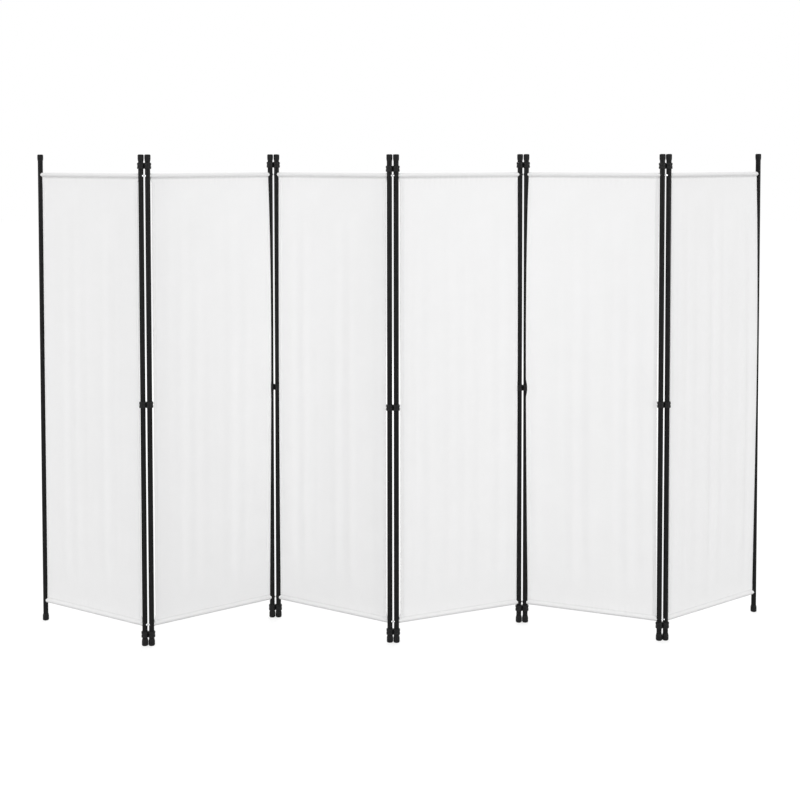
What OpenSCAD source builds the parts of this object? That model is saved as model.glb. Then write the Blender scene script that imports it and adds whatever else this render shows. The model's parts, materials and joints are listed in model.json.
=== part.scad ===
// Accordion folding partition.
// Six fabric panels stand in a zigzag. A panel has two round posts, each of a lower and an upper tube with a
// foot and a cap, two crossbars with plugs in their ends, screwed between the posts, and a sheet of fabric
// whose pockets hold the crossbars. Neighbouring posts are joined by three double-ring clips, which turn
// freely on both posts.
// Origin: the middle of the footprint, on the floor. X runs along the screen, Y away from its front, Z up.

/* [Screen] */
// Height from the floor to the top of the post caps
screen_h = 1700; // [1400:10:2000]
// Width of a panel, between the axes of its two posts
panel_w = 490; // [380:5:600]
// Angle of each panel to the X axis, from left to right
panel_yaws = [33, 37, 33, 25, 23, 38]; // [10:1:70]

/* [Posts] */
// Outer diameter of the post tubes
post_d = 18; // [15:0.5:18.5]
// Wall of the post tubes
post_wall = 0.9; // [0.7:0.1:1.5]
// Height of the seam between the lower and the upper tube
post_seam_z = 850; // [650:10:950]
// Length of the lower tube's narrowed neck, which enters the upper tube
neck_l = 60; // [30:5:100]
// Play round the neck inside the upper tube
neck_play = 0.1; // [0.05:0.05:0.3]

/* [Caps and feet] */
// Diameter of a cap
cap_d = 21; // [20.4:0.1:21.5]
// Height of a cap
cap_h = 22; // [16:1:26]
// Thickness of a cap's closed end
cap_end_t = 3; // [2:0.5:5]
// Rounding of a cap's closed end
cap_round = 3.8; // [1:0.1:4]
// Diameter of a foot
foot_d = 22.4; // [20.5:0.1:22.5]
// Height of a foot
foot_h = 24; // [18:1:26]
// Thickness of a foot's closed end
foot_end_t = 5; // [3:0.5:8]
// Rounding of a foot's closed end
foot_round = 4.5; // [1:0.1:6]
// Height of the skirt of caps and feet, which narrows to the tube
skirt_h = 7; // [3:0.5:10]
// Wall of that skirt at its open rim
skirt_wall = 0.8; // [0.5:0.1:1]
// Play of caps and feet round the tubes
cup_play = 0.05; // [0.02:0.01:0.1]

/* [Crossbars] */
// Diameter of a crossbar
bar_d = 13; // [10:0.5:14]
// Wall of a crossbar
bar_wall = 1; // [0.8:0.1:2]
// Drop of the upper crossbar's axis below the top of the screen
bar_drop = 73; // [68:1:110]
// Height of the lower crossbar's axis above the floor
bar_rise = 75; // [73:1:120]
// Length of a plug's collar between the post and the crossbar
collar_l = 5; // [3:0.5:10]
// Length of a plug inside the crossbar
plug_l = 22; // [18:1:35]
// Play of a plug inside the crossbar
plug_play = 0.05; // [0.02:0.01:0.15]
// Play between a plug's saddle and its post
saddle_play = 0.05; // [0.02:0.01:0.2]

/* [Screws] */
// Diameter of a screw's shank
screw_d = 4; // [3:0.5:5]
// Length of the screw inside the plug
screw_grip = 16; // [10:1:20]
// Diameter of a screw's head
head_d = 7.8; // [6:0.2:9]
// Height of a screw's head
head_h = 2.2; // [1.6:0.1:2.2]
// Play of a screw in the post's holes
screw_play = 0.2; // [0.1:0.05:0.4]

/* [Fabric] */
// Thickness of the fabric
cloth_t = 0.8; // [0.6:0.1:1]
// Gap between a pocket's end and the post
pocket_gap = 1.5; // [1:0.5:6]
// Play of a pocket round its crossbar
pocket_play = 0.3; // [0.2:0.1:0.6]
// Height of the stitched double layer beside each pocket, from the crossbar's axis
seam_h = 15; // [12:1:30]
// How far the sheet's side edges are drawn in from the pockets' ends
waist_in = 5.5; // [2:0.5:15]
// Radius of the curve that leads a side edge in
waist_r = 22; // [16:1:40]
// Width of the doubled hem along each side edge
hem_w = 12; // [6:1:20]
// Number of soft vertical folds across a sheet
fold_count = 7; // [3:1:10]
// Depth of the folds to each side of the sheet's plane
fold_depth = 2.4; // [0.5:0.1:4]

/* [Clips] */
// Distance between the two posts that a clip holds
clip_pitch = 23; // [22.8:0.1:25]
// Diameter of a clip's rims
ring_d = 25; // [22.5:0.1:26]
// Height of a clip
clip_h = 21; // [16:1:23]
// Height of each of a clip's two rims
rim_h = 8.5; // [5:0.5:9]
// Depth of the shallow groove between the rims
groove_t = 0.9; // [0.2:0.1:1.2]
// Chamfer of the rims' edges
rim_chamfer = 2; // [0.2:0.1:2.4]
// Thickness of the web between the two rings
web_t = 12; // [8:1:19]
// Play of a clip's rings round the posts
ring_play = 0.05; // [0.02:0.01:0.1]
// Drop of each fold's upper clip below the top of the screen
upper_clip_drops = [39, 38, 50, 39, 41]; // [36:1:55]
// Height of each fold's middle clip above the floor
middle_clip_zs = [840, 852, 824, 858, 830]; // [600:1:1100]
// Height of each fold's lower clip above the floor
lower_clip_zs = [40, 37, 38, 53, 54]; // [37:1:56]

/* [Hidden] */
$fn = 96;
last = len(panel_yaws) - 1;
upper_bar_z = screen_h - bar_drop;
lower_bar_z = bar_rise;
post_bore = post_d - 2 * post_wall;
neck_d = post_bore - 2 * neck_play;
tube_top_z = screen_h - cap_end_t;
bar_bore = bar_d - 2 * bar_wall;
bar_x0 = post_d / 2 + collar_l;
pocket_x0 = post_d / 2 + pocket_gap;
pocket_w = panel_w - 2 * pocket_x0;
pocket_bore = bar_d + 2 * pocket_play;
pocket_d = pocket_bore + 2 * cloth_t;
steps_per_fold = 8;
cut = 1; // how far a cutting body runs past what it cuts

PANEL_PIECES = [
    "lower_tubes", "upper_tubes", "lower_crossbar", "upper_crossbar", "bar_plugs",
    "screws", "fabric", "caps", "feet"
];

function panel_node(k, piece) = str("panel_", k + 1, "_", piece);
function fold_node(k) = str("fold_", k + 1, "_clips");

// Plan of the zigzag: panels turn to the front and to the back in turn, and a clip halves its fold's angle.
function heading(k) = (k % 2 == 0 ? -1 : 1) * panel_yaws[k];
function clip_heading(k) = (heading(k) + heading(k + 1)) / 2;
function along(angle, length) = length * [cos(angle), sin(angle)];
function left_axis(k) = k == 0 ? [0, 0] : right_axis(k - 1) + along(clip_heading(k - 1), clip_pitch);
function right_axis(k) = left_axis(k) + along(heading(k), panel_w);

// How far an end post's foot or screw head reaches from its axis, on a line at that angle to the panel.
function end_reach(angle) =
    max(foot_d / 2, cos(angle) * (post_d / 2 + head_h) + sin(angle) * head_d / 2);

// The footprint's limits, from the rings at the folds and the feet and screws at the two ends.
fold_ys = [for (k = [0:last - 1]) each [right_axis(k)[1], left_axis(k + 1)[1]]];
first_reach = end_reach(90 - panel_yaws[0]);
last_reach = end_reach(90 - panel_yaws[last]);
x_low = -end_reach(panel_yaws[0]);
x_high = right_axis(last)[0] + end_reach(panel_yaws[last]);
y_low = min(min(fold_ys) - ring_d / 2, -first_reach, right_axis(last)[1] - last_reach);
y_high = max(max(fold_ys) + ring_d / 2, first_reach, right_axis(last)[1] + last_reach);
centre = [x_low + x_high, y_low + y_high] / 2;

module on_panel(k) {
    translate(left_axis(k) - centre)
        rotate(heading(k))
            children();
}

module on_fold(k) {
    translate(right_axis(k) - centre)
        rotate(clip_heading(k))
            children();
}

// A panel is symmetrical, so what sits on its left post is mirrored to its right post.
module on_both_sides() {
    children();
    translate([panel_w, 0, 0])
        mirror([1, 0, 0])
            children();
}

// A cylinder along X that starts at the given place.
module rod_x(x, z, d, h) {
    translate([x, 0, z])
        rotate([0, 90, 0])
            cylinder(d = d, h = h);
}

module screw_holes(z) {
    rod_x(-post_d, z, screw_d + 2 * screw_play, 2 * post_d);
}

module lower_tube() {
    color([0.13, 0.13, 0.13])
        difference() {
            union() {
                translate([0, 0, foot_end_t])
                    cylinder(d = post_d, h = post_seam_z - foot_end_t);
                translate([0, 0, post_seam_z])
                    cylinder(d = neck_d, h = neck_l);
            }
            translate([0, 0, foot_end_t - cut])
                cylinder(d = post_bore, h = post_seam_z - post_wall - foot_end_t + cut);
            cylinder(d = neck_d - 2 * post_wall, h = post_seam_z + neck_l + cut);
            screw_holes(lower_bar_z);
        }
}

module upper_tube() {
    color([0.13, 0.13, 0.13])
        difference() {
            translate([0, 0, post_seam_z])
                cylinder(d = post_d, h = tube_top_z - post_seam_z);
            translate([0, 0, post_seam_z - cut])
                cylinder(d = post_bore, h = screen_h - post_seam_z);
            screw_holes(upper_bar_z);
        }
}

// A cup that closes a tube's end, with its closed end at z = 0 and its edge rounded there. Towards the
// open rim its skirt narrows to the tube.
module cup(d, h, end_t, edge_r) {
    r = d / 2;
    rim_r = post_d / 2 + cup_play + skirt_wall;
    color([0.1, 0.1, 0.1])
        difference() {
            rotate_extrude() {
                polygon([[0, edge_r], [r, edge_r], [r, h - skirt_h], [rim_r, h], [0, h]]);
                square([r - edge_r, edge_r]);
                translate([r - edge_r, edge_r])
                    circle(r = edge_r);
            }
            translate([0, 0, end_t])
                cylinder(d = post_d + 2 * cup_play, h = h);
        }
}

module cap() {
    translate([0, 0, screen_h])
        mirror([0, 0, 1])
            cup(cap_d, cap_h, cap_end_t, cap_round);
}

module foot() {
    cup(foot_d, foot_h, foot_end_t, foot_round);
}

module crossbar(z) {
    color([0.93, 0.93, 0.93])
        difference() {
            rod_x(bar_x0, z, bar_d, panel_w - 2 * bar_x0);
            rod_x(0, z, bar_bore, panel_w);
        }
}

// One plug: a collar with a saddle that fits the post, and a spigot inside the crossbar, bored for the screw.
module bar_plug(z) {
    color([0.95, 0.95, 0.95])
        difference() {
            union() {
                rod_x(0, z, bar_d, bar_x0);
                rod_x(0, z, bar_bore - 2 * plug_play, bar_x0 + plug_l);
            }
            translate([0, 0, z])
                cylinder(d = post_d + 2 * saddle_play, h = 2 * bar_d, center = true);
            rod_x(0, z, screw_d, bar_x0 + plug_l + cut);
        }
}

module bar_plugs() {
    bar_plug(lower_bar_z);
    bar_plug(upper_bar_z);
}

// One screw: its domed head outside the post, its shank through the post and into the plug.
module screw(z) {
    dome_h = head_h / 2;
    color([0.75, 0.75, 0.77]) {
        rod_x(-post_d / 2 - dome_h, z, screw_d, dome_h + post_d + screw_grip);
        rod_x(-post_d / 2 - dome_h, z, head_d, dome_h);
        translate([-post_d / 2 - dome_h, 0, z])
            rotate([0, -90, 0])
                cylinder(d1 = head_d, d2 = head_d - 2 * dome_h, h = dome_h);
    }
}

module screws() {
    screw(lower_bar_z);
    screw(upper_bar_z);
}

// Outline of the folded sheet from above. The folds fade out towards the two side edges.
function fold_y(u) = fold_depth * (1 - pow(2 * u - 1, 4)) * sin(360 * fold_count * u);
function sheet_side(offset_y) = [
    for (i = [0:fold_count * steps_per_fold])
        let (u = i / (fold_count * steps_per_fold))
            [pocket_x0 + u * pocket_w, fold_y(u) + offset_y]
];
function reversed(list) = [for (i = [len(list) - 1:-1:0]) list[i]];

module sheet(thickness, z0, z1) {
    translate([0, 0, z0])
        linear_extrude(z1 - z0)
            polygon(concat(sheet_side(-thickness / 2), reversed(sheet_side(thickness / 2))));
}

module hem() {
    translate([pocket_x0, -cloth_t, lower_bar_z])
        cube([waist_in + hem_w, 2 * cloth_t, upper_bar_z - lower_bar_z]);
}

// What is cut away beside a side edge: the edge curves in from each pocket and then runs straight.
module waist() {
    edge_x = pocket_x0 + waist_in;
    low_z = lower_bar_z + pocket_d / 2 + waist_r;
    high_z = upper_bar_z - pocket_d / 2 - waist_r;
    translate([edge_x - 2 * waist_r, -pocket_d, low_z])
        cube([2 * waist_r, 2 * pocket_d, high_z - low_z]);
    for (z = [low_z, high_z])
        translate([edge_x - waist_r, 0, z])
            rotate([90, 0, 0])
                cylinder(r = waist_r, h = 2 * pocket_d, center = true);
}

module fabric() {
    color([0.94, 0.94, 0.93])
        difference() {
            union() {
                difference() {
                    union() {
                        sheet(cloth_t, lower_bar_z, upper_bar_z);
                        sheet(2 * cloth_t, lower_bar_z, lower_bar_z + seam_h);
                        sheet(2 * cloth_t, upper_bar_z - seam_h, upper_bar_z);
                        on_both_sides() hem();
                    }
                    on_both_sides() waist();
                }
                for (z = [lower_bar_z, upper_bar_z])
                    rod_x(pocket_x0, z, pocket_d, pocket_w);
            }
            for (z = [lower_bar_z, upper_bar_z])
                rod_x(0, z, pocket_bore, panel_w);
        }
}

// A disc with both edges chamfered, centred on z = 0.
module rim_disc(d, h, chamfer) {
    rotate_extrude()
        polygon([
            [0, -h / 2], [d / 2 - chamfer, -h / 2], [d / 2, chamfer - h / 2],
            [d / 2, h / 2 - chamfer], [d / 2 - chamfer, h / 2], [0, h / 2]
        ]);
}

// One double-ring clip, with its first ring round z.
module clip() {
    color([0.1, 0.1, 0.1])
        difference() {
            union() {
                for (x = [0, clip_pitch])
                    translate([x, 0, 0]) {
                        cylinder(d = ring_d - 2 * groove_t, h = clip_h - rim_h, center = true);
                        for (side = [-1, 1])
                            translate([0, 0, side * (clip_h - rim_h) / 2])
                                rim_disc(ring_d, rim_h, rim_chamfer);
                    }
                translate([clip_pitch / 2, 0, 0])
                    cube([clip_pitch, web_t, clip_h - 2 * rim_chamfer], center = true);
            }
            for (x = [0, clip_pitch])
                translate([x, 0, 0])
                    cylinder(d = post_d + 2 * ring_play, h = clip_h + 2 * cut, center = true);
        }
}

module fold_clips(k) {
    for (z = [screen_h - upper_clip_drops[k], middle_clip_zs[k], lower_clip_zs[k]])
        translate([0, 0, z])
            clip();
}

for (k = [0:last]) {
    on_panel(k) on_both_sides() lower_tube();
    on_panel(k) on_both_sides() upper_tube();
    on_panel(k) crossbar(lower_bar_z);
    on_panel(k) crossbar(upper_bar_z);
    on_panel(k) on_both_sides() bar_plugs();
    on_panel(k) on_both_sides() screws();
    on_panel(k) fabric();
    on_panel(k) on_both_sides() cap();
    on_panel(k) on_both_sides() foot();
}
for (k = [0:last - 1])
    on_fold(k) fold_clips(k);
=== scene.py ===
import json
import math
import random

import bpy
from mathutils import Matrix, Vector


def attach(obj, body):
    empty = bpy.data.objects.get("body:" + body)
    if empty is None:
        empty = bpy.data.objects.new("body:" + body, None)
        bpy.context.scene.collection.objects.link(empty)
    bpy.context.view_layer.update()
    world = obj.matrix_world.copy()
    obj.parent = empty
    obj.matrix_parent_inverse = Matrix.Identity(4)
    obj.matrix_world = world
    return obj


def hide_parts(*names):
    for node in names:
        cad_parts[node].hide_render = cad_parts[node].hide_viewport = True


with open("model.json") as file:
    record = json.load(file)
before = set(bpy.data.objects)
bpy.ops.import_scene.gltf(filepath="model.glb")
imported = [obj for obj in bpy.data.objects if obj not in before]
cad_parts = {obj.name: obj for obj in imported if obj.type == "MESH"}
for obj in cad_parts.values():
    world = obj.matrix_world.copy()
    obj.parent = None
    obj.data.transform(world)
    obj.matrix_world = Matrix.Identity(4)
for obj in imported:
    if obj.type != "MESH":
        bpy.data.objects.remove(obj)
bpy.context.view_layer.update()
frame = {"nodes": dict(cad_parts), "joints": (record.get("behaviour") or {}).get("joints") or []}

# ---------------------------------------------------------------- the screen's measures, in metres
SCREEN_H = 1.7
PANEL_W = 0.49  # from post axis to post axis
PANEL_TURNS = (-33, 37, -33, 25, -23, 38)  # degrees, seen from above
PANELS = range(1, len(PANEL_TURNS) + 1)

UPPER_BAR_Z = SCREEN_H - 0.073  # the axes of the crossbars
LOWER_BAR_Z = 0.075

POCKET_X = 0.0105  # from the post axis to the side edge of a pocket
POCKET_R = 0.0072  # middle of the cloth round a bar
CLOTH_T = 0.0008
SEAM_DROP = 0.0092  # from the bar's axis to where the pocket's two sides meet
SEAM_H = 0.0125  # from the bar's axis to the end of the turned-in cloth
SEAM_LIP = 0.001  # from there, where the two sides lie flat on each other
WAIST_IN = 0.0055  # how much deeper the cloth is cut between its two pockets
WAIST_R = 0.022  # of the cut's rounding
WAIST_START = 0.0076  # from a bar's axis to where the cut begins
HEM_W = 0.012
STITCH_DROP = 0.0108  # from the bar's axis to the row of stitches
STITCH_GAP = 0.0034  # from one stitch to the next
SEAM_FADE = 0.03  # over which the face comes from the pocket's front to the panel's own plane
BAR_GAP = UPPER_BAR_Z - LOWER_BAR_Z
FOLD_COUNT = 7
FOLD_DEPTHS = (0.0011, 0.0011, 0.0014, 0.0011, 0.0016, 0.0034)  # at mid height, panel by panel
FIRST_SEED = 40  # of the folds of a panel, plus its number


# ---------------------------------------------------------------- places
def joint_place(name):
    for joint in frame["joints"]:
        if joint["name"] == name:
            return Vector(joint["pos_m"])
    raise ValueError(name)


def along(turn, length):
    return Vector((math.cos(turn) * length, math.sin(turn) * length, 0))


def panel_place(number):
    """The left post's axis on the floor, with X along the panel and Y towards the back."""
    turn = math.radians(PANEL_TURNS[number - 1])
    if number == 1:
        left = joint_place("fold_1_left_rings") - along(turn, PANEL_W)
    else:
        left = joint_place(f"fold_{number - 1}_right_rings")
    return Matrix.Translation(left) @ Matrix.Rotation(turn, 4, "Z")


# ---------------------------------------------------------------- small tools
def deselect_all():
    if bpy.context.object and bpy.context.object.mode != "OBJECT":
        bpy.ops.object.mode_set(mode="OBJECT")
    bpy.ops.object.select_all(action="DESELECT")


def pick(piece):
    deselect_all()
    piece.select_set(True)
    bpy.context.view_layer.objects.active = piece


def edit_all(piece):
    pick(piece)
    bpy.ops.object.mode_set(mode="EDIT")
    bpy.ops.mesh.select_all(action="SELECT")


def apply_modifiers(piece):
    pick(piece)
    for modifier in list(piece.modifiers):
        bpy.ops.object.modifier_apply(modifier=modifier.name)


def finish_piece(piece, name, material, body, replaced=()):
    piece.name = name
    piece.data.name = name
    piece.data.materials.clear()
    piece.data.materials.append(material)
    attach(piece, body)
    if replaced:
        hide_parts(*replaced)
    return piece


def smooth_step(low, high, value):
    t = min(1.0, max(0.0, (value - low) / (high - low)))
    return t * t * (3 - 2 * t)


# ---------------------------------------------------------------- the cut of the cloth
ARC_STEPS = 18
DOWN_STEPS = 116
SEAM_POINTS = 3  # on each side of a seam, between the turned-in end and the arc round the bar
TANGENT = math.acos(POCKET_R / SEAM_DROP)  # where the cloth leaves the bar for the seam
HALF_CLOTH = CLOTH_T * 0.55


def pocket_line(bar_z, up):
    """(depth, height) along the cloth from its turned-in end, round the bar, to the face of the sheet."""
    seam = [bar_z - up * drop for drop in (SEAM_H, SEAM_DROP + SEAM_LIP, SEAM_DROP)]
    line = [(HALF_CLOTH, height) for height in seam]
    for step in range(ARC_STEPS + 1):
        angle = TANGENT + (2 * math.pi - 2 * TANGENT) * step / ARC_STEPS
        line.append((math.sin(angle) * POCKET_R, bar_z - up * math.cos(angle) * POCKET_R))
    return line + [(-HALF_CLOTH, height) for height in reversed(seam)]


def cloth_line():
    upper = pocket_line(UPPER_BAR_Z, 1)
    lower = pocket_line(LOWER_BAR_Z, -1)[::-1]
    high, low = upper[-1][1], lower[0][1]
    between = []
    for step in range(1, DOWN_STEPS):
        height = high + (low - high) * step / DOWN_STEPS
        edge = min(height - low, high - height)
        between.append((-HALF_CLOTH * (1 - smooth_step(0, SEAM_FADE, edge)), height))
    return upper + between + lower


CLOTH_LINE = cloth_line()
CLOTH_RUN = [0.0]
for here, there in zip(CLOTH_LINE, CLOTH_LINE[1:]):
    CLOTH_RUN.append(CLOTH_RUN[-1] + math.dist(here, there))
FIRST_FACE_ROW = ARC_STEPS + 2 * SEAM_POINTS
FACE_ROWS = (FIRST_FACE_ROW, FIRST_FACE_ROW + DOWN_STEPS)
POCKET_RUN = CLOTH_RUN[FACE_ROWS[0]]  # the cloth in one pocket

# The columns of the sheet's grid, in metres from the pocket's left edge: close together at the hems.
POCKET_W = PANEL_W - 2 * POCKET_X
HEM_COLUMNS = (0, 0.0012, 0.004, 0.008, HEM_W - 0.0004, HEM_W + 0.0004)
PAST_HEM = 0.002
INNER_COLUMNS = FOLD_COUNT * 15
INNER_W = POCKET_W - 2 * HEM_W - 2 * PAST_HEM
COLUMNS = (
    list(HEM_COLUMNS)
    + [HEM_W + PAST_HEM + INNER_W * i / INNER_COLUMNS for i in range(INNER_COLUMNS + 1)]
    + [POCKET_W - column for column in reversed(HEM_COLUMNS)]
)


# ---------------------------------------------------------------- material tools
def add_node(tree, kind, inputs=None, **settings):
    made = tree.nodes.new("ShaderNode" + kind)
    for key, value in settings.items():
        setattr(made, key, value)
    for key, value in (inputs or {}).items():
        made.inputs[key].default_value = value
    return made


def new_group(name, inputs, outputs):
    """A node group. inputs: name -> value; outputs: name -> socket kind."""
    tree = bpy.data.node_groups.new(name, "ShaderNodeTree")
    for socket, value in inputs.items():
        made = tree.interface.new_socket(name=socket, in_out="INPUT", socket_type="NodeSocketFloat")
        made.default_value = value
    for socket, kind in outputs.items():
        tree.interface.new_socket(name=socket, in_out="OUTPUT", socket_type="NodeSocket" + kind)
    return tree, tree.nodes.new("NodeGroupInput"), tree.nodes.new("NodeGroupOutput")


def put_group(tree, group, **values):
    made = tree.nodes.new("ShaderNodeGroup")
    made.node_tree = group
    for key, value in values.items():
        made.inputs[key.replace("_", " ")].default_value = value
    return made


def new_material(name, colour, roughness, **sockets):
    material = bpy.data.materials.new(name)
    material.use_nodes = True
    shader = material.node_tree.nodes["Principled BSDF"]
    shader.inputs["Base Color"].default_value = (*colour, 1)
    shader.inputs["Roughness"].default_value = roughness
    for key, value in sockets.items():
        shader.inputs[key.replace("_", " ")].default_value = value
    return material, material.node_tree, shader


def maths(tree, operation, *values, clamp=False):
    made = tree.nodes.new("ShaderNodeMath")
    made.operation = operation
    made.use_clamp = clamp
    for socket, value in zip(made.inputs, values):
        if isinstance(value, (int, float)):
            socket.default_value = value
        else:
            tree.links.new(value, socket)
    return made.outputs[0]


def mix_colour(tree, factor, low, high):
    made = add_node(tree, "Mix", data_type="RGBA")
    sockets = (made.inputs[0], made.inputs[6], made.inputs[7])  # the factor and the two colours
    for socket, value in zip(sockets, (factor, low, high)):
        if isinstance(value, tuple):
            socket.default_value = (*value, 1)
        else:
            tree.links.new(value, socket)
    return made.outputs[2]


def map_range(tree, value, from_low, from_high, to_low, to_high):
    made = add_node(tree, "MapRange", {1: from_low, 2: from_high, 3: to_low, 4: to_high})
    tree.links.new(value, made.inputs[0])
    return made.outputs[0]


def add_bump(tree, shader, height, strength, distance):
    made = add_node(tree, "Bump", {"Strength": strength, "Distance": distance})
    tree.links.new(height, made.inputs["Height"])
    tree.links.new(made.outputs[0], shader.inputs["Normal"])


def seen_directly(tree):
    """1 for what the camera sees, also in a gloss or through something clear, and 0 for other light."""
    path = add_node(tree, "LightPath")
    return maths(
        tree, "MAXIMUM", path.outputs["Is Camera Ray"],
        maths(tree, "MAXIMUM", path.outputs["Is Glossy Ray"], path.outputs["Is Transmission Ray"]),
    )


# ---------------------------------------------------------------- shared effects
def make_grain():
    """Fine height of a coat or moulded face, and roughness that drifts slowly over it."""
    tree, start, end = new_group(
        "surface_grain", {"Scale": 900, "Low": 0.3, "High": 0.45}, {"Height": "Float", "Roughness": "Float"}
    )
    place = add_node(tree, "TexCoord").outputs["Object"]
    fine = add_node(tree, "TexNoise", {"Detail": 3, "Roughness": 0.6})
    slow = add_node(tree, "TexNoise", {"Scale": 26, "Detail": 4, "Roughness": 0.65})
    spread = add_node(tree, "MapRange", {1: 0.3, 2: 0.7})
    links = tree.links
    links.new(place, fine.inputs["Vector"])
    links.new(place, slow.inputs["Vector"])
    links.new(start.outputs["Scale"], fine.inputs["Scale"])
    links.new(slow.outputs["Fac"], spread.inputs[0])
    links.new(start.outputs["Low"], spread.inputs[3])
    links.new(start.outputs["High"], spread.inputs[4])
    links.new(fine.outputs["Fac"], end.inputs["Height"])
    links.new(spread.outputs[0], end.inputs["Roughness"])
    return tree


def make_wear():
    """Where a surface is rubbed: on its sharp edges and in scattered short marks."""
    tree, start, end = new_group("rubbed_marks", {"Amount": 1}, {"Mask": "Float"})
    place = add_node(tree, "TexCoord").outputs["Object"]
    stretch = add_node(tree, "Mapping", {"Scale": (1, 1, 0.35)})
    marks = add_node(tree, "TexNoise", {"Scale": 160, "Detail": 6, "Roughness": 0.7})
    patches = add_node(tree, "TexNoise", {"Scale": 9, "Detail": 2})
    edges = add_node(tree, "NewGeometry").outputs["Pointiness"]
    links = tree.links
    links.new(place, stretch.inputs["Vector"])
    links.new(stretch.outputs[0], marks.inputs["Vector"])
    links.new(place, patches.inputs["Vector"])
    scattered = map_range(tree, marks.outputs["Fac"], 0.64, 0.74, 0, 1)
    where = map_range(tree, patches.outputs["Fac"], 0.5, 0.66, 0, 1)
    on_edges = map_range(tree, edges, 0.53, 0.6, 0, 1)
    broken = maths(tree, "MULTIPLY", on_edges, map_range(tree, marks.outputs["Fac"], 0.42, 0.6, 0.1, 1))
    both = maths(tree, "MAXIMUM", maths(tree, "MULTIPLY", scattered, where), broken)
    links.new(maths(tree, "MULTIPLY", both, start.outputs["Amount"], clamp=True), end.inputs["Mask"])
    return tree


def make_weave():
    """Plain weave on the cloth's own cut, in metres: height of its threads and the drift of its colour."""
    tree, start, end = new_group(
        "plain_weave", {"Threads": 900}, {"Height": "Float", "Shade": "Float", "Slub": "Float"}
    )
    cut = add_node(tree, "UVMap", uv_map="cut").outputs[0]
    apart = add_node(tree, "SeparateXYZ")
    links = tree.links
    links.new(cut, apart.inputs[0])
    turn = maths(tree, "MULTIPLY", start.outputs["Threads"], math.pi)
    across = maths(tree, "SINE", maths(tree, "MULTIPLY", apart.outputs["X"], turn))
    down = maths(tree, "SINE", maths(tree, "MULTIPLY", apart.outputs["Y"], turn))
    over = maths(tree, "MULTIPLY", across, down)
    threads = maths(
        tree, "MAXIMUM",
        maths(tree, "MULTIPLY", maths(tree, "ABSOLUTE", across), map_range(tree, over, -1, 1, 0.4, 1)),
        maths(tree, "MULTIPLY", maths(tree, "ABSOLUTE", down), map_range(tree, over, -1, 1, 1, 0.4)),
    )
    long_slubs = add_node(tree, "Mapping", {"Scale": (420, 9, 1)})
    cross_slubs = add_node(tree, "Mapping", {"Scale": (9, 420, 1)})
    warp = add_node(tree, "TexNoise", {"Scale": 1, "Detail": 2})
    weft = add_node(tree, "TexNoise", {"Scale": 1, "Detail": 2})
    cloud = add_node(tree, "TexNoise", {"Scale": 7, "Detail": 5, "Roughness": 0.6})
    for mapping, noise in ((long_slubs, warp), (cross_slubs, weft)):
        links.new(cut, mapping.inputs["Vector"])
        links.new(mapping.outputs[0], noise.inputs["Vector"])
    links.new(cut, cloud.inputs["Vector"])
    slub = maths(tree, "ADD", warp.outputs["Fac"], weft.outputs["Fac"])
    links.new(maths(tree, "ADD", threads, maths(tree, "MULTIPLY", slub, 0.6)), end.inputs["Height"])
    links.new(cloud.outputs["Fac"], end.inputs["Shade"])
    links.new(map_range(tree, slub, 0.6, 1.4, 0, 1), end.inputs["Slub"])
    return tree


GRAIN = make_grain()
WEAR = make_wear()
WEAVE = make_weave()


# ---------------------------------------------------------------- materials
DRIFT = 0.93  # the darkest part of a coat's slow drift of colour, as a share of the colour
LINE_T = 0.0003  # half the width of the dark line where two tubes meet
LIP_OFF = 0.0009  # from that line to the rubbed lips beside it


def coated(name, colour, worn, low, high, grain_scale, bump, wear, joint_z=None, **sockets):
    """A coat or moulded plastic: grain, roughness that drifts from low to high, and rubbed marks in the
    colour worn. joint_z is the height of a fine dark line where two tubes meet."""
    material, tree, shader = new_material(name, colour, (low + high) / 2, **sockets)
    links = tree.links
    grain = put_group(tree, GRAIN, Scale=grain_scale, Low=low, High=high)
    rubbed = put_group(tree, WEAR, Amount=wear)
    drift = add_node(tree, "TexNoise", {"Scale": 14, "Detail": 3})
    links.new(add_node(tree, "TexCoord").outputs["Object"], drift.inputs["Vector"])
    shade = map_range(tree, drift.outputs["Fac"], 0.3, 0.7, 0, 1)
    ground = mix_colour(tree, shade, tuple(channel * DRIFT for channel in colour), colour)
    finish = mix_colour(tree, rubbed.outputs["Mask"], ground, worn)
    height = grain.outputs["Height"]
    if joint_z:
        apart = add_node(tree, "SeparateXYZ")
        links.new(add_node(tree, "TexCoord").outputs["Object"], apart.inputs[0])
        off = maths(tree, "ABSOLUTE", maths(tree, "SUBTRACT", apart.outputs["Z"], joint_z))
        line = map_range(tree, off, LINE_T, 2 * LINE_T, 1, 0)
        from_lip = maths(tree, "ABSOLUTE", maths(tree, "SUBTRACT", off, LIP_OFF))
        lip = map_range(tree, from_lip, 0, 0.0005, 0.6, 0)
        finish = mix_colour(tree, lip, finish, worn)
        finish = mix_colour(tree, line, finish, (0, 0, 0))
        height = maths(tree, "SUBTRACT", height, maths(tree, "MULTIPLY", line, 3))
    links.new(finish, shader.inputs["Base Color"])
    duller = maths(tree, "MULTIPLY", rubbed.outputs["Mask"], 0.15)
    links.new(maths(tree, "ADD", grain.outputs["Roughness"], duller), shader.inputs["Roughness"])
    add_bump(tree, shader, height, 0.35, bump)
    return material


CLOTH_COLOURS = (0.852, 0.851, 0.852), (0.872, 0.871, 0.873)  # the ends of its slow drift
SLUB_COLOUR = (0.83, 0.829, 0.829)
# Painted shade: the colour where the cloth is double, and below it how much of that shade the side hems get
DOUBLE_CLOTH_PAINTED_SHADE = (0.765, 0.764, 0.765)
HEM_SHADE = 0.12  # how much of the pockets' darkening the side hems have
THREADS = 1150  # in a metre


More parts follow.
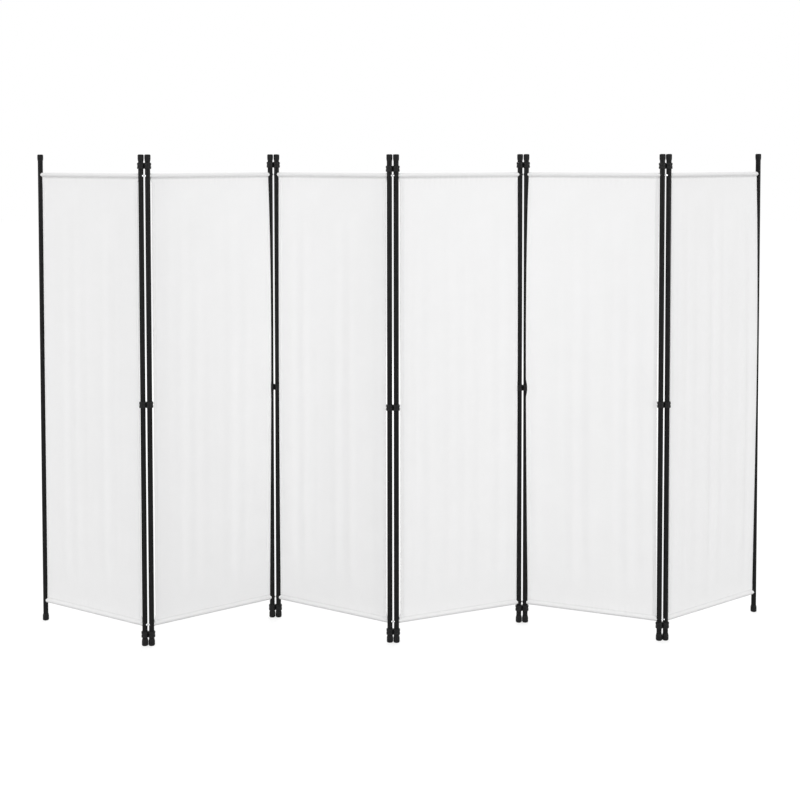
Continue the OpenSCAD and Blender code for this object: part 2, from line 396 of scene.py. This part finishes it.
def fabric_cloth(name, thread_bump, **sockets):
    """Off-white woven polyester, with painted shade where it is double."""
    material, tree, shader = new_material(name, CLOTH_COLOURS[0], 0.85, **sockets)
    links = tree.links
    weave = put_group(tree, WEAVE, Threads=THREADS)
    cloud = mix_colour(tree, map_range(tree, weave.outputs["Shade"], 0.3, 0.7, 0, 1), *CLOTH_COLOURS)
    threads = mix_colour(tree, maths(tree, "MULTIPLY", weave.outputs["Slub"], 0.25), cloud, SLUB_COLOUR)
    # Painted shade where the cloth is double, in the pockets and a little in the side hems: less light comes
    # through there.
    apart = add_node(tree, "SeparateXYZ")
    links.new(add_node(tree, "UVMap", uv_map="cut").outputs[0], apart.inputs[0])
    from_end = maths(tree, "PINGPONG", apart.outputs["Y"], CLOTH_RUN[-1] / 2)
    from_side = maths(tree, "PINGPONG", apart.outputs["X"], POCKET_W / 2)
    in_pocket = map_range(tree, from_end, POCKET_RUN - 0.0004, POCKET_RUN + 0.0004, 1, 0)
    in_hem = map_range(tree, from_side, HEM_W - 0.0003, HEM_W + 0.0003, HEM_SHADE, 0)
    painted_double_shade = maths(tree, "MAXIMUM", in_pocket, in_hem)
    links.new(mix_colour(tree, painted_double_shade, threads, DOUBLE_CLOTH_PAINTED_SHADE), shader.inputs["Base Color"])
    links.new(map_range(tree, weave.outputs["Height"], 0, 1.6, 0.92, 0.78), shader.inputs["Roughness"])
    add_bump(tree, shader, weave.outputs["Height"], 0.3, thread_bump)
    return material


def zinc_plate(name):
    """Bright plated steel, a little yellower where it is rubbed."""
    plate, worn = (0.86, 0.865, 0.875), (0.93, 0.93, 0.91)
    material, tree, shader = new_material(name, plate, 0.3, Metallic=1)
    grain = put_group(tree, GRAIN, Scale=1400, Low=0.2, High=0.36)
    rubbed = put_group(tree, WEAR, Amount=0.6)
    tree.links.new(mix_colour(tree, rubbed.outputs["Mask"], plate, worn), shader.inputs["Base Color"])
    tree.links.new(grain.outputs["Roughness"], shader.inputs["Roughness"])
    add_bump(tree, shader, grain.outputs["Height"], 0.2, 0.00004)
    return material


# coated: name, colour, rubbed colour, roughness from and to, scale of the grain, depth of its bump, wear
POST_COAT = coated(
    "black_post_coat", (0.0098, 0.0098, 0.01), (0.035, 0.035, 0.035), 0.2, 0.3, 900, 0.00008, 0.2,
    joint_z=0.85, Specular_IOR_Level=0.05,
)
BAR_COAT = coated("white_bar_coat", (0.83, 0.83, 0.83), (0.6, 0.6, 0.58), 0.3, 0.42, 700, 0.0001, 0.3)
PLUG_PLASTIC = coated(
    "white_plug_plastic", (0.86, 0.86, 0.86), (0.7, 0.7, 0.68), 0.4, 0.55, 1300, 0.00006, 0.3
)
CUP_PLASTIC = coated(
    "black_cap_plastic", (0.0115, 0.0115, 0.0118), (0.035, 0.035, 0.035), 0.34, 0.48, 1500, 0.00008, 0.4,
    Specular_IOR_Level=0.1,
)
CLIP_PLASTIC = coated(
    "black_clip_plastic", (0.0105, 0.0105, 0.0108), (0.04, 0.04, 0.04), 0.3, 0.42, 1300, 0.00008, 0.45,
    Specular_IOR_Level=0.14,
)
ZINC = zinc_plate("bright_zinc_screw")
FABRIC = fabric_cloth("off_white_polyester", 0.0001, Sheen_Weight=0.12)
THREAD = coated("white_sewing_thread", (0.8, 0.8, 0.79), (0.72, 0.72, 0.7), 0.6, 0.8, 2600, 0.00005, 0.2)

FINISH_OF_NODE = {
    "lower_tubes": POST_COAT, "upper_tubes": POST_COAT,
    "lower_crossbar": BAR_COAT, "upper_crossbar": BAR_COAT,
    "bar_plugs": PLUG_PLASTIC, "screws": ZINC, "fabric": FABRIC,
    "caps": CUP_PLASTIC, "feet": CUP_PLASTIC, "clips": CLIP_PLASTIC,
}
for node_name, cad_piece in frame["nodes"].items():
    finish = FINISH_OF_NODE[node_name.split("_", 2)[2]]
    cad_piece.data.materials.clear()
    cad_piece.data.materials.append(finish)


# ---------------------------------------------------------------- the fabric
# How a side edge hangs where its bow is deepest: how far forward, its distance from the post's axis, and how
# high up that is (1 is mid height). The key is the panel and its side, 0 for left. Sides that aren't named
# follow the cut.
EDGE_HANG = {
    (1, 0): (0.004, 0.0156, 1.0),
    (2, 1): (0.0135, 0.0083, 1.5),
    (3, 0): (0.005, 0.0117, 1.2),
    (4, 1): (0.005, 0.0112, 1.2),
    (5, 0): (0.0134, 0.0046, 1.5),
    (5, 1): (0.0, 0.0135, 1.0),
    (6, 1): (0.012, 0.0123, 1.4),
}
# Beside a middle clip an edge keeps this far from the post's axis, so that it clears the clip at every angle
# of the fold: (height of the clip, distance).
CLIP_ROOM = {
    (2, 1): (0.852, 0.0094), (3, 0): (0.852, 0.0121), (4, 1): (0.858, 0.0121), (5, 0): (0.858, 0.0094),
}
CLIP_REACH = (0.0125, 0.028)  # from the clip's middle: all of that room up to here, and none beyond here

# The folds of a panel: how many across it, and how deep each set is next to the first.
FOLD_SETS = ((FOLD_COUNT, 1.0), (FOLD_COUNT - 2.3, 0.55), (FOLD_COUNT + 2.6, 0.4), (2.1, 0.5))
FOLD_SUM = 1.5  # about what the sets come to together
FOLD_FADE = 0.16  # of the height, from a bar to where the folds are whole
UPPER_CALM = (0.6, 0.45, 0.95)  # how much shallower they get, and from and to which share of the height
SIDE_CALM = 6  # the higher, the nearer to a side edge the folds and puckers go

EDGE_BLEND = 0.35  # of the width, over which the cloth makes up for where its side edge is
FORWARD_FADE = 2.2  # the higher, the sooner an edge's forward bow is lost across the panel

PUCKER_DEPTH = 0.00035
PUCKER_REACH = 0.014  # up or down from the seam
PUCKER_TURNS = (310, 523)  # radians a metre


def cut_edge(height):
    """Distance of the side edge from the post's axis, as the cloth is cut: a waist between the pockets."""
    below = min(UPPER_BAR_Z - height, height - LOWER_BAR_Z) - WAIST_START
    if below >= WAIST_R:
        return POCKET_X + WAIST_IN
    if below <= 0:
        return POCKET_X
    reach = math.sqrt(max(0.0, WAIST_R**2 - (WAIST_R - below) ** 2))
    return max(POCKET_X, POCKET_X + WAIST_IN - WAIST_R + reach)


def edge_hang(number, side, height):
    """(distance of the edge from the post's axis, how far it hangs forward)."""
    if (number, side) not in EDGE_HANG:
        return cut_edge(height), 0.0
    forward, out, high_up = EDGE_HANG[number, side]
    share = min(1.0, max(0.0, (height - LOWER_BAR_Z) / BAR_GAP))
    bow = max(math.sin(math.pi * share**high_up), 0)
    out = POCKET_X + (out - POCKET_X) * bow**0.5
    if (number, side) in CLIP_ROOM:
        clip_height, clear = CLIP_ROOM[number, side]
        out += max(0.0, clear - out) * (1 - smooth_step(*CLIP_REACH, abs(height - clip_height)))
    return out, forward * bow**0.8


def fold_waves(number):
    """Soft upright folds: no two the same width or depth."""
    rng = random.Random(FIRST_SEED + number)
    waves = []
    for turns, depth in FOLD_SETS:
        phase, lean, sway = rng.uniform(0, 2 * math.pi), rng.uniform(-0.6, 0.6), rng.uniform(0.6, 2.4)
        waves.append((turns, depth, phase, lean, sway))
    return waves


def fold_depth(number, waves, u, share):
    """How far the folds take the cloth back, at a share u of the panel's width and a share of its height."""
    total = 0.0
    for turns, depth, phase, lean, sway in waves:
        drift = lean * math.sin(sway * math.pi * share + phase)
        total += depth * math.sin(2 * math.pi * turns * u + phase + drift)
    return FOLD_DEPTHS[number - 1] * total / FOLD_SUM


def cloth_point(number, waves, x, depth, height):
    """Where a point of the cut lies: x from the pocket's left edge, depth behind the panel's plane."""
    u = x / POCKET_W
    left, left_forward = edge_hang(number, 0, height)
    right, right_forward = edge_hang(number, 1, height)
    # Near a side edge the cloth keeps its distance from that edge, so that the hem stays as wide.
    x += (left - POCKET_X) * (1 - smooth_step(0.0, EDGE_BLEND, u))
    x -= (right - POCKET_X) * smooth_step(1 - EDGE_BLEND, 1.0, u)
    share = (height - LOWER_BAR_Z) / BAR_GAP
    # The folds fade out towards both seams and the side edges, and are shallower in the upper half.
    slack = smooth_step(SEAM_H / BAR_GAP, FOLD_FADE, min(share, 1 - share))
    slack *= 1 - UPPER_CALM[0] * smooth_step(*UPPER_CALM[1:], share)
    calm = 1 - abs(2 * u - 1) ** SIDE_CALM
    y = depth + fold_depth(number, waves, u, share) * slack * calm
    y -= left_forward * (1 - u) ** FORWARD_FADE + right_forward * u**FORWARD_FADE
    # The stitches of a pocket draw the cloth in, so it puckers a little beside them.
    beside = min(abs(height - UPPER_BAR_Z + SEAM_H), abs(height - LOWER_BAR_Z - SEAM_H))
    pucker = math.sin(x * PUCKER_TURNS[0] + number) + 0.7 * math.sin(x * PUCKER_TURNS[1] + 2 * number)
    y += PUCKER_DEPTH * pucker * math.exp(-((beside / PUCKER_REACH) ** 2)) * calm
    return Vector((POCKET_X + x, y, height))


def make_sheet(number):
    """A flat grid, laid out as the cut says, given its thickness: the side hems are twice as thick."""
    waves = fold_waves(number)
    deselect_all()
    bpy.ops.mesh.primitive_grid_add(
        x_subdivisions=len(COLUMNS) - 1, y_subdivisions=len(CLOTH_LINE) - 1, size=1, location=(0, 0, 0)
    )
    cloth = bpy.context.object
    mesh = cloth.data
    cells = []
    for vertex in mesh.vertices:
        column = round((vertex.co.x + 0.5) * (len(COLUMNS) - 1))
        row = round((0.5 - vertex.co.y) * (len(CLOTH_LINE) - 1))
        cells.append((column, row))
    thick = cloth.vertex_groups.new(name="thickness")
    for vertex, (column, row) in zip(mesh.vertices, cells):
        vertex.co = cloth_point(number, waves, COLUMNS[column], *CLOTH_LINE[row])
        at_side = min(COLUMNS[column], POCKET_W - COLUMNS[column]) < HEM_W
        on_face = FACE_ROWS[0] <= row <= FACE_ROWS[1]
        thick.add([vertex.index], 1.0 if at_side and on_face else 0.5, "REPLACE")
    cut = mesh.uv_layers[0]
    cut.name = "cut"
    for loop in mesh.loops:
        column, row = cells[loop.vertex_index]
        cut.data[loop.index].uv = (COLUMNS[column], CLOTH_RUN[row])
    wall = cloth.modifiers.new("wall", "SOLIDIFY")
    wall.thickness = 2 * CLOTH_T
    wall.offset = 0
    wall.vertex_group = thick.name
    wall.use_even_offset = True
    apply_modifiers(cloth)
    cloth.vertex_groups.clear()
    edit_all(cloth)
    bpy.ops.mesh.normals_make_consistent(inside=False)
    bpy.ops.object.mode_set(mode="OBJECT")
    bpy.ops.object.shade_smooth_by_angle(angle=math.radians(50))
    cloth.data.transform(panel_place(number))
    return finish_piece(
        cloth, f"panel_{number}_sewn_sheet", FABRIC, f"panel_{number}", [f"panel_{number}_fabric"]
    )


STITCH_SIZE = (0.45, 0.00022, 0.00028)  # half of it: share of the pitch, and metres out and beside
STITCH_LIFT = 0.00008  # how far its middle lies off the cloth
SEAM_ENDS = 0.002  # from the cloth's side edge to the first stitch of a pocket's seam
HEM_STITCH_X = HEM_W - 0.0018
HEM_ENDS = 0.0015  # from a pocket's stitches to the first stitch of a hem


def stitch_rows():
    """Straight rows of stitches as sewn: (first place on the cut, last place), in metres across and up."""
    low, high = LOWER_BAR_Z + STITCH_DROP, UPPER_BAR_Z - STITCH_DROP
    rows = []
    for height in (low, high):
        rows.append(((SEAM_ENDS, height), (POCKET_W - SEAM_ENDS, height)))
    for x in (HEM_STITCH_X, POCKET_W - HEM_STITCH_X):
        rows.append(((x, low + HEM_ENDS), (x, high - HEM_ENDS)))
    return rows


def make_stitching(number):
    """Lock stitches on both faces: one stitch is modelled, arrayed along each row, and laid on the cloth."""
    waves = fold_waves(number)
    made = []
    for (x0, z0), (x1, z1) in stitch_rows():
        run = math.dist((x0, z0), (x1, z1))
        count = int(run / STITCH_GAP)
        pitch = run / count
        upright = x0 == x1
        for side in (-1, 1):
            deselect_all()
            bpy.ops.mesh.primitive_uv_sphere_add(segments=6, ring_count=4, radius=1, location=(0, 0, 0))
            row = bpy.context.object
            bpy.ops.object.mode_set(mode="EDIT")
            bpy.ops.transform.rotate(value=math.pi / 2, orient_axis="Y", center_override=(0, 0, 0))
            half_size = (pitch * STITCH_SIZE[0], *STITCH_SIZE[1:])
            bpy.ops.transform.resize(value=half_size, center_override=(0, 0, 0))
            bpy.ops.object.mode_set(mode="OBJECT")
            array = row.modifiers.new("row", "ARRAY")
            array.count = count
            array.use_relative_offset = False
            array.use_constant_offset = True
            array.constant_offset_displace = (pitch, 0, 0)
            apply_modifiers(row)
            # A seam has a layer on either side of the panel's plane. A hem is one layer, twice as thick.
            face = (CLOTH_T if upright else CLOTH_T / 2 + HALF_CLOTH) + STITCH_LIFT
            for vertex in row.data.vertices:
                on, off, beside = vertex.co
                on += pitch / 2
                x, z = (x0 + beside, z0 + on) if upright else (x0 + on, z0 + beside)
                centre = 0.0
                if upright:
                    centre = -HALF_CLOTH * (1 - smooth_step(0, SEAM_FADE, min(z - z0, z1 - z)))
                vertex.co = cloth_point(number, waves, x, centre + side * face + off, z)
            made.append(row)
    deselect_all()
    for row in made:
        row.select_set(True)
    bpy.context.view_layer.objects.active = made[0]
    bpy.ops.object.join()
    thread = bpy.context.object
    bpy.ops.object.shade_smooth()
    thread.data.transform(panel_place(number))
    return finish_piece(thread, f"panel_{number}_stitching", THREAD, f"panel_{number}")


for panel_number in PANELS:
    sheet = make_sheet(panel_number)
    stitching = make_stitching(panel_number)


# ---------------------------------------------------------------- the clips
CLIP_PITCH = 0.023  # between the axes of its two rings
CLIP_H = 0.021
RING_R = 0.0125
BORE_R = 0.00905
RIM_H = 0.0085  # of the upper and of the lower rim, with a groove between them
GROOVE_T = 0.0009
WEB_T = 0.012
WEB_SHORTER = (0.004, 0.0042)  # than the pitch, and than the clip's height
RIM_ROUND = 0.0017
LIP_ROUND = 0.0006
BORE_ROUND = 0.0005
# Fold by fold: from the top of the screen, and from the floor
UPPER_CLIP_DROPS = (0.039, 0.038, 0.050, 0.039, 0.041)
MIDDLE_CLIP_ZS = (0.840, 0.852, 0.824, 0.858, 0.830)
LOWER_CLIP_ZS = (0.040, 0.037, 0.038, 0.053, 0.054)


def leave_and_clear(piece):
    bpy.ops.object.mode_set(mode="OBJECT")
    for part in (piece.data.vertices, piece.data.edges, piece.data.polygons):
        for item in part:
            item.select = False


def pick_faces(piece, chosen):
    """Leaves edit mode, selects the faces that are chosen by their middle and normal, and enters it again."""
    leave_and_clear(piece)
    for face in piece.data.polygons:
        face.select = chosen(face.center, face.normal)
    bpy.ops.object.mode_set(mode="EDIT")
    bpy.ops.mesh.select_mode(type="FACE")


def pick_edges(piece, chosen):
    """The same for edges, chosen by their two ends."""
    leave_and_clear(piece)
    points = piece.data.vertices
    for edge in piece.data.edges:
        edge.select = chosen(points[edge.vertices[0]].co, points[edge.vertices[1]].co)
    bpy.ops.object.mode_set(mode="EDIT")
    bpy.ops.mesh.select_mode(type="EDGE")


def off_axis(point, x=0):
    """How far a point is from the upright axis at x."""
    return math.hypot(point.x - x, point.y)


def level(a, b, height):
    """An edge that lies level, at the given height above or below the middle."""
    return abs(a.z - b.z) < 1e-6 and abs(abs(a.z) - height) < 1e-5


def join_solid(piece, tool, operation):
    """Adds the tool's solid to the piece, or cuts it away, and removes the tool."""
    change = piece.modifiers.new("solid", "BOOLEAN")
    change.operation = operation
    change.solver = "EXACT"
    change.object = tool
    apply_modifiers(piece)
    bpy.data.objects.remove(tool)


def round_bar(radius, length, place, turn=(0, 0, 0), sides=48):
    deselect_all()
    bpy.ops.mesh.primitive_cylinder_add(
        vertices=sides, radius=radius, depth=length, location=place, rotation=turn
    )
    bpy.ops.object.transform_apply(location=True, rotation=True, scale=True)
    return bpy.context.object


def model_ring():
    """One ring round Z: two rounded rims with a groove between them. Its bore comes later."""
    ring = round_bar(RING_R, CLIP_H, (0, 0, 0), sides=72)
    half_groove = (CLIP_H - 2 * RIM_H) / 2
    bed, lip = half_groove - 0.0003, half_groove + 0.0003  # heights of the groove's bed and mouth
    edit_all(ring)
    for height in (-lip, -bed, bed, lip):
        bpy.ops.mesh.select_all(action="SELECT")
        bpy.ops.mesh.bisect(plane_co=(0, 0, height), plane_no=(0, 0, 1))
    pick_faces(ring, lambda middle, normal: abs(middle.z) < bed - 0.0001 and abs(normal.z) < 0.5)
    narrower = (RING_R - GROOVE_T) / RING_R
    bpy.ops.transform.resize(value=(narrower, narrower, 1), center_override=(0, 0, 0))
    rim = RING_R - 1e-4
    pick_edges(ring, lambda a, b: level(a, b, CLIP_H / 2) and min(off_axis(a), off_axis(b)) > rim)
    bpy.ops.mesh.bevel(offset=RIM_ROUND, segments=4, profile=0.5)
    pick_edges(ring, lambda a, b: level(a, b, lip))
    bpy.ops.mesh.bevel(offset=LIP_ROUND, segments=3, profile=0.5)
    bpy.ops.object.mode_set(mode="OBJECT")
    return ring


def on_a_bore(point):
    return any(abs(off_axis(point, x) - BORE_R) < 3e-5 for x in (0, CLIP_PITCH))


def model_clip():
    """A whole clip, with its left ring round Z at the origin."""
    clip = model_ring()
    right = model_ring()
    right.data.transform(Matrix.Translation((CLIP_PITCH, 0, 0)))
    join_solid(clip, right, "UNION")
    deselect_all()
    bpy.ops.mesh.primitive_cube_add(size=1, location=(CLIP_PITCH / 2, 0, 0))
    web = bpy.context.object
    bpy.ops.object.mode_set(mode="EDIT")
    web_size = (CLIP_PITCH - WEB_SHORTER[0], WEB_T, CLIP_H - WEB_SHORTER[1])
    bpy.ops.transform.resize(value=web_size, center_override=(0, 0, 0))
    bpy.ops.mesh.bevel(offset=0.0008, segments=2)
    bpy.ops.object.mode_set(mode="OBJECT")
    bpy.ops.object.transform_apply(location=True, rotation=True, scale=True)
    join_solid(clip, web, "UNION")
    for x in (0, CLIP_PITCH):
        bore = round_bar(BORE_R, CLIP_H * 1.2, (x, 0, 0), sides=72)
        join_solid(clip, bore, "DIFFERENCE")
    pick(clip)
    bpy.ops.object.mode_set(mode="EDIT")
    pick_edges(clip, lambda a, b: level(a, b, CLIP_H / 2) and on_a_bore(a) and on_a_bore(b))
    bpy.ops.mesh.bevel(offset=BORE_ROUND, segments=2)
    bpy.ops.object.mode_set(mode="OBJECT")
    bpy.ops.object.shade_smooth_by_angle(angle=math.radians(40))
    clip.name = "clip_model"
    return clip


def copy_piece(model, place, name, material, body, replaced):
    """A copy with its own mesh, put in its place in the mesh itself."""
    piece = model.copy()
    piece.data = model.data.copy()
    bpy.context.scene.collection.objects.link(piece)
    piece.data.transform(place)
    return finish_piece(piece, name, material, body, replaced)


def make_clips():
    model = model_clip()
    for fold in range(1, len(PANEL_TURNS)):
        turn = math.radians((PANEL_TURNS[fold - 1] + PANEL_TURNS[fold]) / 2)
        foot = Matrix.Translation(joint_place(f"fold_{fold}_left_rings")) @ Matrix.Rotation(turn, 4, "Z")
        heights = {
            "upper": SCREEN_H - UPPER_CLIP_DROPS[fold - 1],
            "middle": MIDDLE_CLIP_ZS[fold - 1],
            "lower": LOWER_CLIP_ZS[fold - 1],
        }
        for where, height in heights.items():
            copy_piece(
                model, foot @ Matrix.Translation((0, 0, height)), f"fold_{fold}_{where}_clip",
                CLIP_PLASTIC, f"clips_{fold}", [f"fold_{fold}_clips"],
            )
    bpy.data.objects.remove(model)


make_clips()


# ---------------------------------------------------------------- the screws
POST_R = 0.009
HEAD_R = 0.0039
HEAD_H = 0.0022
HEAD_ROUND = 0.0014
SHANK_R = 0.002
SHANK_INTO_HEAD = 0.0004
SCREW_GRIP = 0.016  # how far it goes into the plug beyond the post
SLIT_SIZE = (0.0024, 0.0009, 0.0042)  # of one arm of the cross: depth, width, length


def model_screw():
    """A pan-head screw along X: its head's flat side at the origin, its shank towards +X."""
    head = round_bar(HEAD_R, HEAD_H, (-HEAD_H / 2, 0, 0), (0, math.pi / 2, 0), sides=40)
    pick(head)
    bpy.ops.object.mode_set(mode="EDIT")
    pick_edges(head, lambda a, b: a.x < -HEAD_H + 1e-5 and b.x < -HEAD_H + 1e-5)
    bpy.ops.mesh.bevel(offset=HEAD_ROUND, segments=6, profile=0.5)
    bpy.ops.object.mode_set(mode="OBJECT")
    shank_middle = (POST_R + SCREW_GRIP / 2 - SHANK_INTO_HEAD, 0, 0)
    shank = round_bar(SHANK_R, 2 * POST_R + SCREW_GRIP, shank_middle, (0, math.pi / 2, 0), sides=24)
    join_solid(head, shank, "UNION")
    for turn in (math.radians(20), math.radians(110)):
        deselect_all()
        bpy.ops.mesh.primitive_cube_add(size=1, location=(-HEAD_H, 0, 0), rotation=(turn, 0, 0))
        slit = bpy.context.object
        slit.scale = SLIT_SIZE
        bpy.ops.object.transform_apply(location=True, rotation=True, scale=True)
        bpy.ops.object.mode_set(mode="EDIT")
        pick_faces(slit, lambda middle, normal: normal.x > 0.9)
        bpy.ops.transform.resize(value=(1, 0.7, 0.7), center_override=(-HEAD_H, 0, 0))
        bpy.ops.object.mode_set(mode="OBJECT")
        join_solid(head, slit, "DIFFERENCE")
    pick(head)
    bpy.ops.object.shade_smooth_by_angle(angle=math.radians(35))
    head.name = "screw_model"
    return head


def make_screws():
    model = model_screw()
    mirror = Matrix.Translation((PANEL_W, 0, 0)) @ Matrix.Rotation(math.pi, 4, "Z")
    for number in PANELS:
        sides = {"left": panel_place(number), "right": panel_place(number) @ mirror}
        for side, foot in sides.items():
            for where, height in (("lower", LOWER_BAR_Z), ("upper", UPPER_BAR_Z)):
                copy_piece(
                    model, foot @ Matrix.Translation((-POST_R, 0, height)),
                    f"panel_{number}_{side}_{where}_screw", ZINC, f"panel_{number}",
                    [f"panel_{number}_screws"],
                )
    bpy.data.objects.remove(model)


make_screws()


# ---------------------------------------------------------------- floor, light and camera
# FLOOR_GLOW + FLOOR_COLOUR * WORLD_LIGHT stays over 1, so that the floor is white wherever no shadow falls.
WORLD_LIGHT = 0.94
FLOOR_COLOUR = 0.38
FLOOR_GLOW = 0.66


def make_floor():
    deselect_all()
    bpy.ops.mesh.primitive_plane_add(size=60, location=(0, 0, 0))
    floor = bpy.context.object
    floor.name = "studio_floor"
    material = bpy.data.materials.new("pale_floor")
    material.use_nodes = True
    tree = material.node_tree
    shader = tree.nodes["Principled BSDF"]
    shader.inputs["Base Color"].default_value = (FLOOR_COLOUR, FLOOR_COLOUR, FLOOR_COLOUR, 1)
    shader.inputs["Roughness"].default_value = 0.95
    shader.inputs["Specular IOR Level"].default_value = 0
    glow = add_node(tree, "Emission", {"Color": (1, 1, 1, 1)})
    tree.links.new(maths(tree, "MULTIPLY", seen_directly(tree), FLOOR_GLOW), glow.inputs["Strength"])
    total = add_node(tree, "AddShader")
    tree.links.new(shader.outputs[0], total.inputs[0])
    tree.links.new(glow.outputs[0], total.inputs[1])
    tree.links.new(total.outputs[0], tree.nodes["Material Output"].inputs["Surface"])
    floor.data.materials.append(material)


def make_world():
    """White to the camera, and a little weaker as a light."""
    world = bpy.data.worlds.new("studio")
    world.use_nodes = True
    bpy.context.scene.world = world
    tree = world.node_tree
    sky = tree.nodes["Background"]
    sky.inputs["Color"].default_value = (1, 1, 1, 1)
    strength = map_range(tree, seen_directly(tree), 0, 1, WORLD_LIGHT, 1)
    tree.links.new(strength, sky.inputs["Strength"])


def soft_light(name, place, aim, size, power):
    deselect_all()
    bpy.ops.object.light_add(type="AREA", location=place)
    lamp = bpy.context.object
    lamp.name = name
    lamp.data.shape = "RECTANGLE"
    lamp.data.size, lamp.data.size_y = size
    lamp.data.energy = power
    lamp.rotation_euler = (Vector(aim) - Vector(place)).to_track_quat("-Z", "Y").to_euler()
    return lamp


def make_camera():
    """Where the photograph was taken from. The angles are in degrees."""
    place, tilt_down, swing, roll = (-0.017, -4.9195, 1.7), 2.539, -0.097, -0.054
    camera = bpy.data.cameras.new("camera")
    camera.lens = 62.528
    camera.sensor_width = 36
    camera.shift_y = -0.2303
    stand = bpy.data.objects.new("camera", camera)
    bpy.context.scene.collection.objects.link(stand)
    stand.matrix_world = (
        Matrix.Translation(place)
        @ Matrix.Rotation(math.radians(swing), 4, "Z")
        @ Matrix.Rotation(math.radians(90 - tilt_down), 4, "X")
        @ Matrix.Rotation(math.radians(roll), 4, "Z")
    )
    bpy.context.scene.camera = stand


make_floor()
make_world()
soft_light("front_light", (0.0, -7.5, 4.0), (0, 0, 0.8), (1.4, 3.0), 98)
soft_light("left_light", (-7.0, -6.0, 1.2), (-0.3, 0, 1.0), (0.3, 2.2), 131)
soft_light("right_light", (7.0, -6.0, 1.2), (0.3, 0, 1.0), (0.3, 2.2), 145)
soft_light("back_light", (0.5, 6.5, 4.0), (0, 0, 0.9), (4.0, 2.0), 180)
make_camera()
bpy.context.scene.view_settings.view_transform = "Standard"
